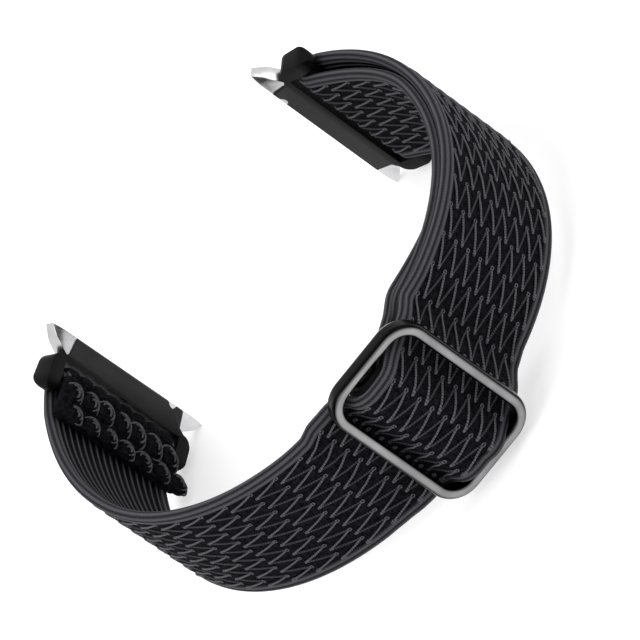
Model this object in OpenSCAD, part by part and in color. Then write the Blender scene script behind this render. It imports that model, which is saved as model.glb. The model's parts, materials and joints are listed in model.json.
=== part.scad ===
// Stretch nylon watch band that stands on its edge, bent in an open C.
// One elastic strap runs from the lower lug, under and over the slider, through the upper lug and back
// inside itself to the slider's cross bar. Z runs across the strap, the slider is at the front (-Y),
// the watch gap at the back (+Y), the upper lug at +X and the lower lug at -X.

/* [Strap] */
// Width of the strap
strap_w = 17.8; // [14:0.5:20]
// Thickness at the corded selvedges
strap_t = 1.2; // [0.9:0.05:1.3]
// Width of each corded selvedge
selvedge_w = 1.5; // [1.2:0.1:3]
// How far the woven face lies below the selvedge cords
face_recess = 0.1; // [0.05:0.01:0.2]
// Gap between two layers of the strap that lie on each other
layer_gap = 0.1; // [0.05:0.05:0.3]
// Length of the sewn tail beyond the lower lug
tail_len = 6; // [5:0.5:10]

/* [Loop] */
// Heading of the strap under the slider, in degrees from +X
front_heading = 2.3; // [0:0.1:8]
// Path length from the middle of the slider to the end of the strap's rise on each side
rise_len = 12; // [11:0.5:14]
// Bend radius left of the slider
left_front_r = 22.3; // [18:0.1:26]
// Bend radius right of the slider
right_front_r = 69; // [60:1:140]
// Bend radius of the lower arm next to the slider
lower_arm_r = 30.7; // [28:0.1:36]
// Bend radius of the lower arm's last stretch, next to the lug
lower_end_r = 36; // [30:0.5:42]
// Length of the lower arm from the slider's rise to the lug
lower_arm_len = 55.2; // [48:0.1:60]
// Bend radius of the corner right of the slider
corner_r = 25.5; // [20:0.5:30]
// Length of that corner
corner_len = 24; // [20:0.5:28]
// Bend radius of the upper arm
upper_arm_r = 32; // [28:0.5:38]
// Length of the upper arm from the corner to the lug
upper_arm_len = 30; // [26:0.5:34]
// Length of the stretch of strap that bends when an arm is opened
flex_len = 10; // [8:0.5:12]
// Distance from the slider's rise to the bending stretch of the lower arm
lower_flex_at = 22; // [18:1:26]

/* [Slider] */
// Width of the slider frame along the strap
slider_len = 14.2; // [13:0.1:16]
// Width of the frame's rails
slider_rail_w = 1.4; // [1.3:0.05:2]
// Depth of the frame's rails
slider_depth = 2.2; // [2:0.1:3]
// Outer corner radius of the frame
slider_corner_r = 3.6; // [3.4:0.1:3.8]
// Gap between the strap's edges and the frame
slider_side_gap = 0.75; // [0.7:0.05:1]
// How far the frame hangs towards the strap's upper edge
slider_drift = 0.1; // [0:0.05:0.15]
// Radius of the frame's long edges
slider_edge_r = 0.6; // [0.3:0.05:0.6]
// Thickness of the cross bar
cross_bar_t = 1.0; // [0.8:0.05:1.1]
// Width of the cross bar
cross_bar_w = 2.6; // [2:0.1:3]
// How far the cross bar lies behind the middle of the frame
cross_bar_back = 0.75; // [0.6:0.05:0.8]
// How far the cross bar stands left of the middle of the frame
cross_bar_left = 0.8; // [0:0.1:1]
// Heading of the frame, in degrees from +X
slider_heading = -7; // [-9:0.5:-3]
// How far the middle of the frame stands out of the strap's own line
slider_proud = 2.1; // [1.7:0.05:2.4]
// Shift of the frame along the strap from the front point
slider_shift = 2.4; // [1:0.1:3]
// Gap between the frame's rails and the strap that passes inside them
rail_clear = 0.45; // [0.35:0.05:0.5]
// Slope of the strap inside the left rail, in degrees
left_slope = 3; // [0:1:8]
// Slope of the strap inside the right rail, in degrees
right_slope = 36; // [30:1:40]
// How much deeper the strap lies inside the right rail than inside the left one
right_dip = 0.6; // [0.5:0.05:1]
// Slope of the strap where it rises to the cross bar, in degrees
left_flank_slope = 58; // [50:1:62]
// Slope of the strap where it leaves the cross bar, in degrees
right_flank_slope = 46; // [42:1:50]
// Gap between the cross bar and the strap that turns round it
bar_gap = 0.05; // [0.05:0.01:0.1]

/* [Lugs] */
// Length of the polished lug bar, tip to tip
lug_bar_len = 24.6; // [23.4:0.1:28]
// Thickness of the lug bar
lug_bar_t = 1.8; // [1.6:0.1:2]
// Depth of the lug bar from the watch side
lug_bar_depth = 2.8; // [2.7:0.1:2.9]
// Length of the lug frame from the strap rail to the watch side
lug_len = 5.9; // [5.8:0.1:8]
// Length of the lug frame's edge on the watch side
plate_len = 17.2; // [16:0.1:18]
// Thickness of the lug frame's plate
plate_t = 2.4; // [2.2:0.1:3]
// Width of each end cap across the strap
cap_w = 1.9; // [1.6:0.1:2.4]
// Radius of the end caps round the strap rail
cap_r = 1.4; // [1.35:0.05:2]
// Gap between the strap's edges and the end caps
lug_side_gap = 0.35; // [0.2:0.05:0.6]
// Radius of the strap rail
rail_r = 0.75; // [0.6:0.05:0.9]
// Gap between the strap rail and the strap that turns round it
rail_gap = 0.1; // [0.05:0.05:0.15]
// Wall of the lug frame behind the bar
plate_wall = 0.5; // [0.4:0.05:0.7]
// Bevel along the lug frame's edge on the watch side
plate_edge = 0.3; // [0.2:0.05:0.5]
// How much wider the lug frame is behind the bar than on the watch side, at each end
plate_flare = 0.3; // [0.2:0.05:0.6]
// Length of the slanted end of the bar on its strap side
wedge_len = 3.4; // [2.6:0.1:4]
// How far the nose of each wedge stands behind the watch side
wedge_nose_depth = 1.25; // [1:0.05:1.6]
// How far the nose of each wedge stands in from the tip
wedge_nose_in = 1; // [0.6:0.1:1.4]
// Length over which each tip of the bar gets thinner
tip_len = 1.6; // [1:0.1:2]
// Swing of the upper lug towards the inside, in degrees
upper_lug_swing = 16; // [0:1:28]
// Swing of the lower lug towards the inside, in degrees
lower_lug_swing = 25; // [0:1:28]

/* [Stitching] */
// Radius of the sewing thread
stitch_r = 0.18; // [0.12:0.01:0.22]
// Stitches in each seam
stitch_count = 9; // [7:1:11]
// Gap between two stitches
stitch_gap = 0.5; // [0.3:0.05:0.7]
// Gap between the sewn tail's end and the layers in the slider
tail_gap = 0.15; // [0.1:0.05:0.2]

/* [Detent] */
// Distance of the detent pin from the middle of the lug bar
detent_offset = 7; // [4:0.1:7.2]
// Radius of the notch in the lug frame's edge in front of the pin
notch_r = 0.75; // [0.6:0.05:0.9]
// Radius of the detent pin's nose
detent_r = 0.38; // [0.3:0.01:0.42]
// Radius of the collar that keeps the pin in
collar_r = 0.56; // [0.52:0.01:0.6]
// Radial clearance of the pin in its bore
detent_clear = 0.04; // [0.02:0.01:0.06]
// How far the pin stands out of the bar
detent_proud = 0.35; // [0.2:0.05:0.4]
// Wall of the bar in front of the pin's collar
detent_wall = 0.55; // [0.5:0.05:0.6]
// Length of the collar
collar_h = 0.8; // [0.7:0.05:0.85]
// Radius of the spring's wire
wire_r = 0.08; // [0.06:0.01:0.1]
// Turns of the spring
spring_turns = 2; // [1:0.5:2]

/* [Hidden] */
$fn = 64;

strap_color = [0.07, 0.07, 0.08];
black_metal = [0.2, 0.2, 0.21];
steel = [0.8, 0.8, 0.82];
gunmetal = [0.45, 0.46, 0.48];
thread = [0.3, 0.3, 0.33];

// A station is [x, y, heading]. Path radii are positive where the path turns left.
function along(p, r, len) = let (h = p[2] + len / r * 180 / PI)
    [p[0] + r * (sin(h) - sin(p[2])), p[1] - r * (cos(h) - cos(p[2])), h];
// Moves a station to its left by d
function left_of(p, d) = [p[0] - d * sin(p[2]), p[1] + d * cos(p[2]), p[2]];
function turned(p, a) = [p[0], p[1], p[2] + a];
function spot(p) = [p[0], p[1]];

// A smooth curve from station p to station q, as n + 1 stations
function bend(p, q, n) = let (k = norm(spot(q) - spot(p)),
    m0 = k * [cos(p[2]), sin(p[2])], m1 = k * [cos(q[2]), sin(q[2])])
    [for (i = [0:n]) let (s = i / n,
        at = (2 * s ^ 3 - 3 * s ^ 2 + 1) * spot(p) + (s ^ 3 - 2 * s ^ 2 + s) * m0
            + (3 * s ^ 2 - 2 * s ^ 3) * spot(q) + (s ^ 3 - s ^ 2) * m1,
        d = (6 * s ^ 2 - 6 * s) * spot(p) + (3 * s ^ 2 - 4 * s + 1) * m0
            + (6 * s - 6 * s ^ 2) * spot(q) + (3 * s ^ 2 - 2 * s) * m1)
        [at[0], at[1], atan2(d[1], d[0])]];
// Every station but the last, so that the next stretch can follow
function open_end(list) = [for (i = [0:len(list) - 2]) list[i]];

// The outer face of the strap, from the point under the slider outwards along each branch
front = [0, 0, front_heading];
right_rise = along(front, right_front_r, rise_len);
right_corner = along(right_rise, corner_r, corner_len);
upper_flex_end = along(right_corner, upper_arm_r, flex_len);
upper_end = along(right_corner, upper_arm_r, upper_arm_len);
left_rise = along(turned(front, 180), -left_front_r, rise_len);
lower_flex_start = along(left_rise, -lower_arm_r, lower_flex_at);
lower_flex_to = lower_flex_at + flex_len;
lower_flex_end = along(left_rise, -lower_arm_r, lower_flex_to);
lower_end_len = lower_arm_len - lower_flex_to;
lower_end_station = along(lower_flex_end, -lower_end_r, lower_end_len);

// Depth of the middle of the inner layer below the outer face of the strap
inner_mid = strap_t + layer_gap + strap_t / 2;
fold_r = rail_r + rail_gap + strap_t;

// The slider's own frame: x runs along the strap, y points out of the loop
slider_at = left_of(along(front, right_front_r, slider_shift), -slider_proud);
function on_slider(x, y, rise = 0) = let (a = slider_heading)
    [slider_at[0] + x * cos(a) + y * sin(a), slider_at[1] + x * sin(a) - y * cos(a), a - rise];
slider_window = strap_w + 2 * slider_side_gap;
slider_h = slider_window + 2 * slider_rail_w;
rail_mid = (slider_len - slider_rail_w) / 2;
bar_x = -cross_bar_left;
bar_y = -cross_bar_back;
loop_mid = cross_bar_t / 2 + bar_gap + strap_t / 2;
bar_flat = (cross_bar_w - cross_bar_t) / 2;
layer_step = strap_t + layer_gap;
hump_r = loop_mid + layer_step;
rail_depth = -slider_depth / 2 - rail_clear - strap_t / 2;
under_left = on_slider(-rail_mid, rail_depth, left_slope);
under_right = on_slider(rail_mid, rail_depth - right_dip, -right_slope);

// Middle line of the strap over the slider, from the lower arm to the outer run
pass_left = left_of(turned(left_rise, -180), strap_t / 2);
pass_right = left_of(right_rise, strap_t / 2);
// Stations on a circle of radius r round one end of the cross bar, from angle a0 to a1, seen along Z
function round_bar(side, r, a0, a1, n) = [for (i = [0:n]) let (a = a0 + (a1 - a0) * i / n)
    on_slider(bar_x + side * bar_flat + r * cos(a), bar_y + r * sin(a), a - 90)];
hump_left = round_bar(-1, hump_r, 90 + left_flank_slope, 90, 4);
hump_right = round_bar(1, hump_r, 90, 90 - right_flank_slope, 4);
left_flank = concat(open_end(bend(pass_left, under_left, 5)),
    open_end(bend(under_left, hump_left[0], 5)), hump_left);
right_flank = concat(open_end(hump_right), open_end(bend(hump_right[4], under_right, 5)),
    bend(under_right, pass_right, 4));
pass_line = concat(left_flank, right_flank);

// Middle line of the sewn end: its tail lies inside the inner layer, then it turns round the cross bar
// and becomes the inner layer, which follows the strap above it
bar_tail_line = bend(turned(left_of(under_right, 2 * layer_step + tail_gap), 180),
    on_slider(bar_x, bar_y - loop_mid, 180), 7);
loop_line = concat(bar_tail_line, round_bar(-1, loop_mid, 270, 90, 8),
    [for (p = right_flank) left_of(p, layer_step)]);

// Middle line of the inner layer from the upper fold to the bending stretch
upper_fold_end = along(upper_end, fold_r, PI * fold_r);
inner_line = bend(left_of(upper_fold_end, strap_t / 2),
    left_of(turned(upper_flex_end, 180), -inner_mid), 8);

// Middle line of the sewn tail from the lower fold down the inside of the lower arm
lower_fold_end = along(lower_end_station, -fold_r, PI * fold_r);
tail_end = along(lower_end_station, -lower_end_r, -tail_len);
tail_line = bend(left_of(lower_fold_end, -strap_t / 2),
    left_of(turned(tail_end, 180), inner_mid), 7);

upper_rail = left_of(upper_end, fold_r);
lower_rail = left_of(lower_end_station, -fold_r);
upper_lug_angle = upper_end[2] + upper_lug_swing;
lower_lug_angle = lower_end_station[2] - lower_lug_swing;

mid_z = lug_bar_len / 2;
// Gap round a piece that is seated for good
seat_gap = 0.02;
// How far a cut runs past the solid
cut_over = 1;
bar_back = lug_len - lug_bar_depth;
slot_end = bar_back - plate_wall;
slot_half = strap_w / 2 + lug_side_gap;
cap_half = slot_half + cap_w;

// The station a given share of the way along a line
function part_way(line, share) = line[round(share * (len(line) - 1))];
// Sides of an outline of constant thickness round a middle line
function ribbon(line, t) = concat(
    [for (p = line) spot(left_of(p, t / 2))],
    [for (i = [len(line) - 1:-1:0]) spot(left_of(line[i], -t / 2))]);

// The box round the whole band in X and Y, whose middle is the origin
function lug_corners(rail, a) = [for (w = [-plate_t / 2, plate_t / 2])
    [rail[0] + lug_len * cos(a) - w * sin(a), rail[1] + lug_len * sin(a) + w * cos(a)]];
edge_steps = 48;
edge_points = concat(
    [for (i = [0:edge_steps]) spot(along(left_rise, -lower_arm_r, lower_flex_to * i / edge_steps))],
    [for (i = [0:edge_steps]) spot(along(lower_flex_end, -lower_end_r, lower_end_len * i / edge_steps))],
    [for (i = [0:edge_steps]) spot(along(right_corner, upper_arm_r, upper_arm_len * i / edge_steps))],
    [for (s = [-1, 1]) spot(on_slider(s * slider_len / 2, slider_depth / 2))],
    ribbon(pass_line, strap_t), lug_corners(upper_rail, upper_lug_angle),
    lug_corners(lower_rail, lower_lug_angle));
function mean_of_ends(k) = let (v = [for (p = edge_points) p[k]]) (min(v) + max(v)) / 2;
origin = [mean_of_ends(0), mean_of_ends(1)];

module place() { translate([-origin[0], -origin[1], mid_z]) children(); }

// Section of the webbing: a flat woven face between two round corded selvedges.
// The outer face is at x = 0 and the strap lies at negative x.
module webbing_section(r) {
    cord_y = strap_w / 2 - strap_t / 2;
    translate([r - strap_t + face_recess, -cord_y])
        square([strap_t - 2 * face_recess, 2 * cord_y]);
    for (s = [-1, 1]) {
        translate([r - strap_t / 2, s * cord_y]) circle(d = strap_t, $fn = 32);
        translate([r - strap_t, s > 0 ? strap_w / 2 - selvedge_w : -cord_y])
            square([strap_t, selvedge_w - strap_t / 2]);
    }
}

// A stretch of strap on a true arc, whose outer face follows the path from station p
module strap_arc(p, r, length, depth = 0) {
    sweep = abs(length / r) * 180 / PI;
    start = r > 0 ? p[2] - 90 : p[2] + 90 - sweep;
    translate([p[0] - r * sin(p[2]), p[1] + r * cos(p[2]), 0])
        rotate([0, 0, start])
            rotate_extrude(angle = sweep, $fn = 128)
                webbing_section(abs(r) - depth);
}

// A stretch of strap along any middle line, with the same face and selvedges. One step at each edge,
// this high and this share of the thickness, stands for the round cord there.
edge_step_h = 0.24;
edge_step_share = 0.6;
module strap_ribbon(line) {
    face_h = strap_w - 2 * selvedge_w;
    round_h = edge_step_h;
    linear_extrude(height = face_h, center = true)
        polygon(ribbon(line, strap_t - 2 * face_recess));
    for (s = [-1, 1]) {
        translate([0, 0, s * (strap_w / 2 - round_h) - (s > 0 ? selvedge_w - round_h : 0)])
            linear_extrude(height = selvedge_w - round_h) polygon(ribbon(line, strap_t));
        translate([0, 0, s > 0 ? strap_w / 2 - round_h : -strap_w / 2])
            linear_extrude(height = round_h) polygon(ribbon(line, strap_t * edge_step_share));
    }
}

module outer_run() color(strap_color) place() strap_arc(right_rise, corner_r, corner_len);
module inner_run() color(strap_color) place()
    strap_arc(right_rise, corner_r, corner_len, strap_t + layer_gap);
module lower_run() color(strap_color) place() strap_arc(left_rise, -lower_arm_r, lower_flex_at);

module upper_outer_flex() color(strap_color) place() strap_arc(right_corner, upper_arm_r, flex_len);
module upper_inner_flex() color(strap_color) place()
    strap_arc(right_corner, upper_arm_r, flex_len, strap_t + layer_gap);
module upper_outer_end() color(strap_color) place()
    strap_arc(upper_flex_end, upper_arm_r, upper_arm_len - flex_len);
module upper_inner_end() color(strap_color) place() strap_ribbon(inner_line);
module upper_fold() color(strap_color) place() strap_arc(upper_end, fold_r, PI * fold_r);

module lower_flex() color(strap_color) place() strap_arc(lower_flex_start, -lower_arm_r, flex_len);
module lower_end() color(strap_color) place()
    strap_arc(lower_flex_end, -lower_end_r, lower_end_len);
module lower_fold() color(strap_color) place() strap_arc(lower_end_station, -fold_r, PI * fold_r);
module lower_tail() color(strap_color) place() strap_ribbon(tail_line);

module slider_pass() color(strap_color) place() strap_ribbon(pass_line);
module bar_loop() color(strap_color) place() strap_ribbon(loop_line);

// Rounded section of a slider rail, its middle at distance r from the axis
module rail_section(r = 0) {
    for (sx = [-1, 1], sy = [-1, 1])
        translate([r + sx * (slider_rail_w / 2 - slider_edge_r), sy * (slider_depth / 2 - slider_edge_r)])
            circle(r = slider_edge_r, $fn = 24);
    translate([r - slider_rail_w / 2, -slider_depth / 2 + slider_edge_r])
        square([slider_rail_w, slider_depth - 2 * slider_edge_r]);
    translate([r - slider_rail_w / 2 + slider_edge_r, -slider_depth / 2])
        square([slider_rail_w - 2 * slider_edge_r, slider_depth]);
}

// Flat cross bar with round edges, its outline grown by extra
module cross_bar_section(extra = 0) {
    for (s = [-1, 1]) translate([s * bar_flat, 0]) circle(d = cross_bar_t + 2 * extra, $fn = 32);
    square([2 * bar_flat, cross_bar_t + 2 * extra], center = true);
}

module at_slider() {
    place() translate([slider_at[0], slider_at[1], slider_drift]) rotate([0, 0, slider_heading])
        mirror([0, 1, 0]) children();
}

// The frame lies in X and Z, with its depth along Y
module slider_frame() color(gunmetal) at_slider() {
    corner_mid = slider_corner_r - slider_rail_w / 2;
    straight_x = slider_len / 2 - slider_corner_r;
    straight_z = slider_h / 2 - slider_corner_r;
    difference() {
        union() {
            for (s = [-1, 1]) {
                translate([s * rail_mid, 0, 0])
                    linear_extrude(height = 2 * straight_z, center = true) rail_section();
                translate([0, 0, s * (slider_h / 2 - slider_rail_w / 2)]) rotate([0, 90, 0])
                    linear_extrude(height = 2 * straight_x, center = true) rail_section();
            }
            for (q = [0:3])
                translate([(q == 0 || q == 3 ? 1 : -1) * straight_x, 0, (q < 2 ? 1 : -1) * straight_z])
                    rotate([90, 0, 0]) rotate([0, 0, 90 * q])
                        rotate_extrude(angle = 90, $fn = 96) rail_section(corner_mid);
        }
        translate([bar_x, bar_y, 0])
            linear_extrude(height = slider_window + slider_rail_w, center = true)
                cross_bar_section(seat_gap);
    }
}

module slider_cross_bar() color(gunmetal) at_slider()
    translate([bar_x, bar_y, 0])
        linear_extrude(height = slider_window + slider_rail_w - 2 * seat_gap, center = true)
            cross_bar_section();

// One row of short stitches across the strap, lying on the face of a station
module stitch_row(p, count, thread_r) {
    pitch = (strap_w - 2 * selvedge_w) / count;
    translate([p[0], p[1], 0])
        for (i = [0:count - 1])
            translate([0, 0, (i - (count - 1) / 2) * pitch])
                cylinder(r = thread_r, h = pitch - stitch_gap, center = true, $fn = 16);
}
// Where each seam lies, as a share of its tail's length
lower_seam_at = 0.7;
bar_seam_at = 0.4;
stitch_lift = strap_t / 2 - face_recess + stitch_r + seat_gap;
module lower_stitching() color(thread) place()
    stitch_row(left_of(part_way(tail_line, lower_seam_at), stitch_lift), stitch_count, stitch_r);
module bar_stitching() color(thread) place()
    stitch_row(left_of(part_way(bar_tail_line, bar_seam_at), -stitch_lift), stitch_count, stitch_r);

// Side profile of a lug frame in the plane across the strap rail: round caps that taper to the plate
module lug_profile() {
    circle(r = cap_r, $fn = 48);
    polygon([[0, -cap_r], [slot_end, -plate_t / 2], [lug_len - plate_edge, -plate_t / 2],
        [lug_len, -plate_t / 2 + plate_edge], [lug_len, plate_t / 2 - plate_edge],
        [lug_len - plate_edge, plate_t / 2], [slot_end, plate_t / 2], [0, cap_r]]);
}

function arc_points(x, y, r, a0, a1, n) = [for (i = [0:n]) let (a = a0 + (a1 - a0) * i / n)
    [x + r * cos(a), y + r * sin(a)]];

// Face outline of a lug frame, x from the strap rail to the watch, y along the rail
module lug_outline() {
    shoulder = cap_half - cap_r;
    half = concat(
        [[lug_len, plate_len / 2], [bar_back + plate_wall, plate_len / 2 + plate_flare]],
        arc_points(bar_back - cap_r, shoulder, cap_r, 0, 90, 8),
        arc_points(0, shoulder, cap_r, 90, 180, 8));
    polygon(concat(half, [for (i = [len(half) - 1:-1:0]) [half[i][0], -half[i][1]]]));
}

// A lug frame: x from the strap rail to the watch, y through the plate, z along the rail
module lug_frame() {
    channel_h = lug_bar_t + 2 * seat_gap;
    difference() {
        intersection() {
            linear_extrude(height = 2 * cap_half, center = true) lug_profile();
            rotate([90, 0, 0]) linear_extrude(height = 2 * (cap_r + cut_over), center = true) lug_outline();
        }
        translate([-cap_r - cut_over, -cap_r - cut_over, -slot_half])
            cube([cap_r + cut_over + slot_end, 2 * (cap_r + cut_over), 2 * slot_half]);
        translate([bar_back - seat_gap, -channel_h / 2, -lug_bar_len / 2])
            cube([lug_bar_depth + cut_over, channel_h, lug_bar_len]);
        translate([lug_len, 0, detent_offset]) rotate([90, 0, 0])
            cylinder(r = notch_r, h = 2 * (cap_r + cut_over), center = true);
    }
    cylinder(r = rail_r, h = 2 * slot_half + cap_w, center = true, $fn = 48);
}

// The polished bar, with wedge tips cut from both sides and a stepped bore for the detent pin
module lug_bar() {
    half = lug_bar_len / 2;
    nose = lug_len - wedge_nose_depth;
    nose_z = half - wedge_nose_in;
    thin = lug_bar_t / 3;
    difference() {
        intersection() {
            rotate([90, 0, 0]) linear_extrude(height = lug_bar_t, center = true)
                polygon([[lug_len, -half], [lug_len, half], [nose, nose_z],
                    [bar_back, half - wedge_len], [bar_back, wedge_len - half], [nose, -nose_z]]);
            rotate([90, 0, 90]) linear_extrude(height = 2 * (lug_len + cut_over), center = true)
                polygon([[lug_bar_t / 2, tip_len - half], [lug_bar_t / 2, half - tip_len], [thin, half],
                    [-thin, half], [-lug_bar_t / 2, half - tip_len], [-lug_bar_t / 2, tip_len - half],
                    [-thin, -half], [thin, -half]]);
        }
        translate([bar_back - collar_h, 0, detent_offset]) rotate([0, 90, 0])
            cylinder(r = collar_r + detent_clear, h = collar_h + collar_top - bar_back + seat_gap);
        translate([bar_back, 0, detent_offset]) rotate([0, 90, 0])
            cylinder(r = detent_r + detent_clear, h = lug_bar_depth + cut_over);
    }
}

// The detent pin: a round nose on a stem, and a collar that stops it in the bar
collar_top = lug_len - detent_wall;
module detent_pin() {
    nose = lug_len + detent_proud;
    translate([0, 0, detent_offset]) rotate([0, 90, 0]) rotate_extrude($fn = 48)
        polygon(concat([[0, collar_top - collar_h], [collar_r, collar_top - collar_h],
            [collar_r, collar_top], [detent_r, collar_top]],
            [for (i = [0:8]) let (a = i * 90 / 8)
                [detent_r * cos(a), nose - detent_r + detent_r * sin(a)]]));
}

// The spring behind the pin, one tube of wire round the bore's axis
spring_start = bar_back + wire_r + seat_gap;
spring_len = collar_top - collar_h - wire_r - seat_gap - spring_start;
spring_r = collar_r - wire_r;
ring_sides = 6;
rings_per_turn = 12;
spring_line = [for (i = [0:spring_turns * rings_per_turn]) let (a = i * 360 / rings_per_turn)
    [spring_start + spring_len * i / (spring_turns * rings_per_turn), spring_r * cos(a), spring_r * sin(a)]];
// Least gap of the wire to itself, between points at least half a turn apart
spring_gap = min([for (i = [0:len(spring_line) - 1])
    for (j = [i + rings_per_turn / 2:1:len(spring_line) - 1])
        norm(spring_line[j] - spring_line[i])]) - 2 * wire_r;
echo(spring_gap = spring_gap);
module detent_spring() {
    rings = len(spring_line);
    points = [for (i = [0:rings - 1]) let (a = i * 360 / rings_per_turn, p = spring_line[i])
        for (k = [0:ring_sides - 1]) let (b = k * 360 / ring_sides, out = wire_r * cos(b))
            [p[0] + wire_r * sin(b), p[1] + out * cos(a), p[2] + out * sin(a)]];
    walls = [for (i = [0:rings - 2], k = [0:ring_sides - 1])
        let (a = i * ring_sides + k, b = i * ring_sides + (k + 1) % ring_sides)
            each [[a, a + ring_sides, b], [b, a + ring_sides, b + ring_sides]]];
    caps = [for (k = [1:ring_sides - 2])
        each [[0, k, k + 1], [(rings - 1) * ring_sides, (rings - 1) * ring_sides + k + 1,
            (rings - 1) * ring_sides + k]]];
    translate([0, 0, detent_offset]) polyhedron(points = points, faces = concat(walls, caps));
}

module at_upper_lug() {
    place() translate([upper_rail[0], upper_rail[1], 0]) rotate([0, 0, upper_lug_angle]) children();
}
// The lower lug is the same part, turned over about its own length
module at_lower_lug() {
    place() translate([lower_rail[0], lower_rail[1], 0]) rotate([0, 0, lower_lug_angle])
        rotate([180, 0, 0]) children();
}

module upper_lug_frame() color(black_metal) at_upper_lug() lug_frame();
module upper_lug_bar() color(steel) at_upper_lug() lug_bar();
module upper_detent_pin() color(steel) at_upper_lug() detent_pin();
module upper_detent_spring() color(steel) at_upper_lug() detent_spring();
module lower_lug_frame() color(black_metal) at_lower_lug() lug_frame();
module lower_lug_bar() color(steel) at_lower_lug() lug_bar();
module lower_detent_pin() color(steel) at_lower_lug() detent_pin();
module lower_detent_spring() color(steel) at_lower_lug() detent_spring();

outer_run();
inner_run();
lower_run();
slider_pass();
bar_loop();
slider_frame();
slider_cross_bar();
bar_stitching();
upper_outer_flex();
upper_inner_flex();
upper_outer_end();
upper_inner_end();
upper_fold();
lower_flex();
lower_end();
lower_fold();
lower_tail();
lower_stitching();
upper_lug_frame();
upper_lug_bar();
upper_detent_pin();
upper_detent_spring();
lower_lug_frame();
lower_lug_bar();
lower_detent_pin();
lower_detent_spring();
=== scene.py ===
"""Stretch nylon watch band that stands on its edge, dressed for a photograph.

The webbing is built flat, as it comes off the loom, and then laid along the band's path in plan.
Flat webbing has x along the strap, y across it and z out of its zigzag face, all in millimetres.
"""

import json
import logging
import math
import random
from dataclasses import dataclass, field, replace
from enum import Enum, IntEnum
from typing import Iterable

import bmesh
import bpy
import numpy as np
from mathutils import Matrix, Vector


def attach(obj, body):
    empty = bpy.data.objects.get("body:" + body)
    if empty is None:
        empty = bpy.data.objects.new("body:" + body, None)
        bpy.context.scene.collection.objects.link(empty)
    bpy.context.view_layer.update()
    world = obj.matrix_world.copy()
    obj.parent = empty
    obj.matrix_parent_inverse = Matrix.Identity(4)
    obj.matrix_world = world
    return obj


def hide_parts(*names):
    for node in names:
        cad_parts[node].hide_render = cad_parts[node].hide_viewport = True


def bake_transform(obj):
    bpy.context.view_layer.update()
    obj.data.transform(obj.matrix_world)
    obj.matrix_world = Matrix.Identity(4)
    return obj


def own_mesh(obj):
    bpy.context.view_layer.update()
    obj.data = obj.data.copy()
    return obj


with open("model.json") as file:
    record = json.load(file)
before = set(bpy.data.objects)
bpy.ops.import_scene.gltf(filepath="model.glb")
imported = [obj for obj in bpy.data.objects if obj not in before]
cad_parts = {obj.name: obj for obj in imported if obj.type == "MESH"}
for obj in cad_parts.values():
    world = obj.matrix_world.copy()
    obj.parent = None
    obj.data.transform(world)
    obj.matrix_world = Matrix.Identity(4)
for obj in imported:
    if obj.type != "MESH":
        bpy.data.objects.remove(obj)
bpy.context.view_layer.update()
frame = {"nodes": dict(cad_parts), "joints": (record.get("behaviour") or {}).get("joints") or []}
MM = 0.001
SCATTER_SEED = 4
LOG = logging.getLogger("band")
Piece = bpy.types.Object
Material = bpy.types.Material
Socket = bpy.types.NodeSocket
BMesh = bmesh.types.BMesh
Triple = tuple[float, float, float]


class Slot(Enum):
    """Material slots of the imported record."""

    STRAP = "strap_nylon"
    THREAD = "thread"
    GUNMETAL = "gunmetal"
    BLACK = "black_metal"
    BAR = "polished_steel"
    SPRING = "spring_steel"


class Cloth(IntEnum):
    """Places of the materials on a piece of webbing."""

    GROUND = 0
    CORD = 1
    RIBS = 2
    # the lower zigzag legs, in a darker copy of the yarn: painted shade
    YARN = 3
    SHADED_LOW_YARN = 4


class Seam(IntEnum):
    """Places of the materials on the sewn end's lumps and loops."""

    LOOP = 0
    LUMP = 1


def packed_joint(name: str) -> dict:
    """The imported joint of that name."""
    return next(joint for joint in frame["joints"] if joint["name"] == name)


@dataclass(frozen=True)
class Station:
    """A point on a line in plan, in millimetres, with its heading in radians."""

    x: float
    y: float
    heading: float

    def left(self, distance: float) -> "Station":
        """The station moved to its left."""
        return Station(self.x - distance * math.sin(self.heading),
                       self.y + distance * math.cos(self.heading), self.heading)

    def turned(self, degrees: float) -> "Station":
        """The station with another heading."""
        return Station(self.x, self.y, self.heading + math.radians(degrees))

    def along(self, radius: float, length: float) -> "Station":
        """The station at the end of an arc, which turns left where the radius is positive."""
        heading = self.heading + length / radius
        return Station(self.x + radius * (math.sin(heading) - math.sin(self.heading)),
                       self.y - radius * (math.cos(heading) - math.cos(self.heading)), heading)


def arc(start: Station, radius: float, length: float, step: float = 0.3) -> list[Station]:
    """Stations along an arc.

    Args:
        start: where the arc begins.
        radius: positive where it turns left.
        length: its length in millimetres.
        step: about how far apart the stations are.

    Returns:
        The stations from start to end.
    """
    count = max(2, round(length / step))
    return [start.along(radius, length * i / count) for i in range(count + 1)]


def bend(start: Station, end: Station, step: float = 0.3) -> list[Station]:
    """Stations on a smooth curve between two stations.

    Args:
        start: first station.
        end: last station.
        step: about how far apart the stations are.

    Returns:
        The stations from start to end.
    """
    a, b = Vector((start.x, start.y)), Vector((end.x, end.y))
    reach = (b - a).length
    m0 = reach * Vector((math.cos(start.heading), math.sin(start.heading)))
    m1 = reach * Vector((math.cos(end.heading), math.sin(end.heading)))
    count = max(3, round(reach / step))
    stations = []
    for i in range(count + 1):
        s = i / count
        at = ((2 * s**3 - 3 * s**2 + 1) * a + (s**3 - 2 * s**2 + s) * m0
              + (3 * s**2 - 2 * s**3) * b + (s**3 - s**2) * m1)
        way = ((6 * s**2 - 6 * s) * a + (3 * s**2 - 4 * s + 1) * m0
               + (6 * s - 6 * s**2) * b + (3 * s**2 - 2 * s) * m1)
        stations.append(Station(at.x, at.y, math.atan2(way.y, way.x)))
    return stations


def back(stations: list[Station]) -> list[Station]:
    """The same line walked the other way."""
    return [station.turned(180) for station in reversed(stations)]


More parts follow.
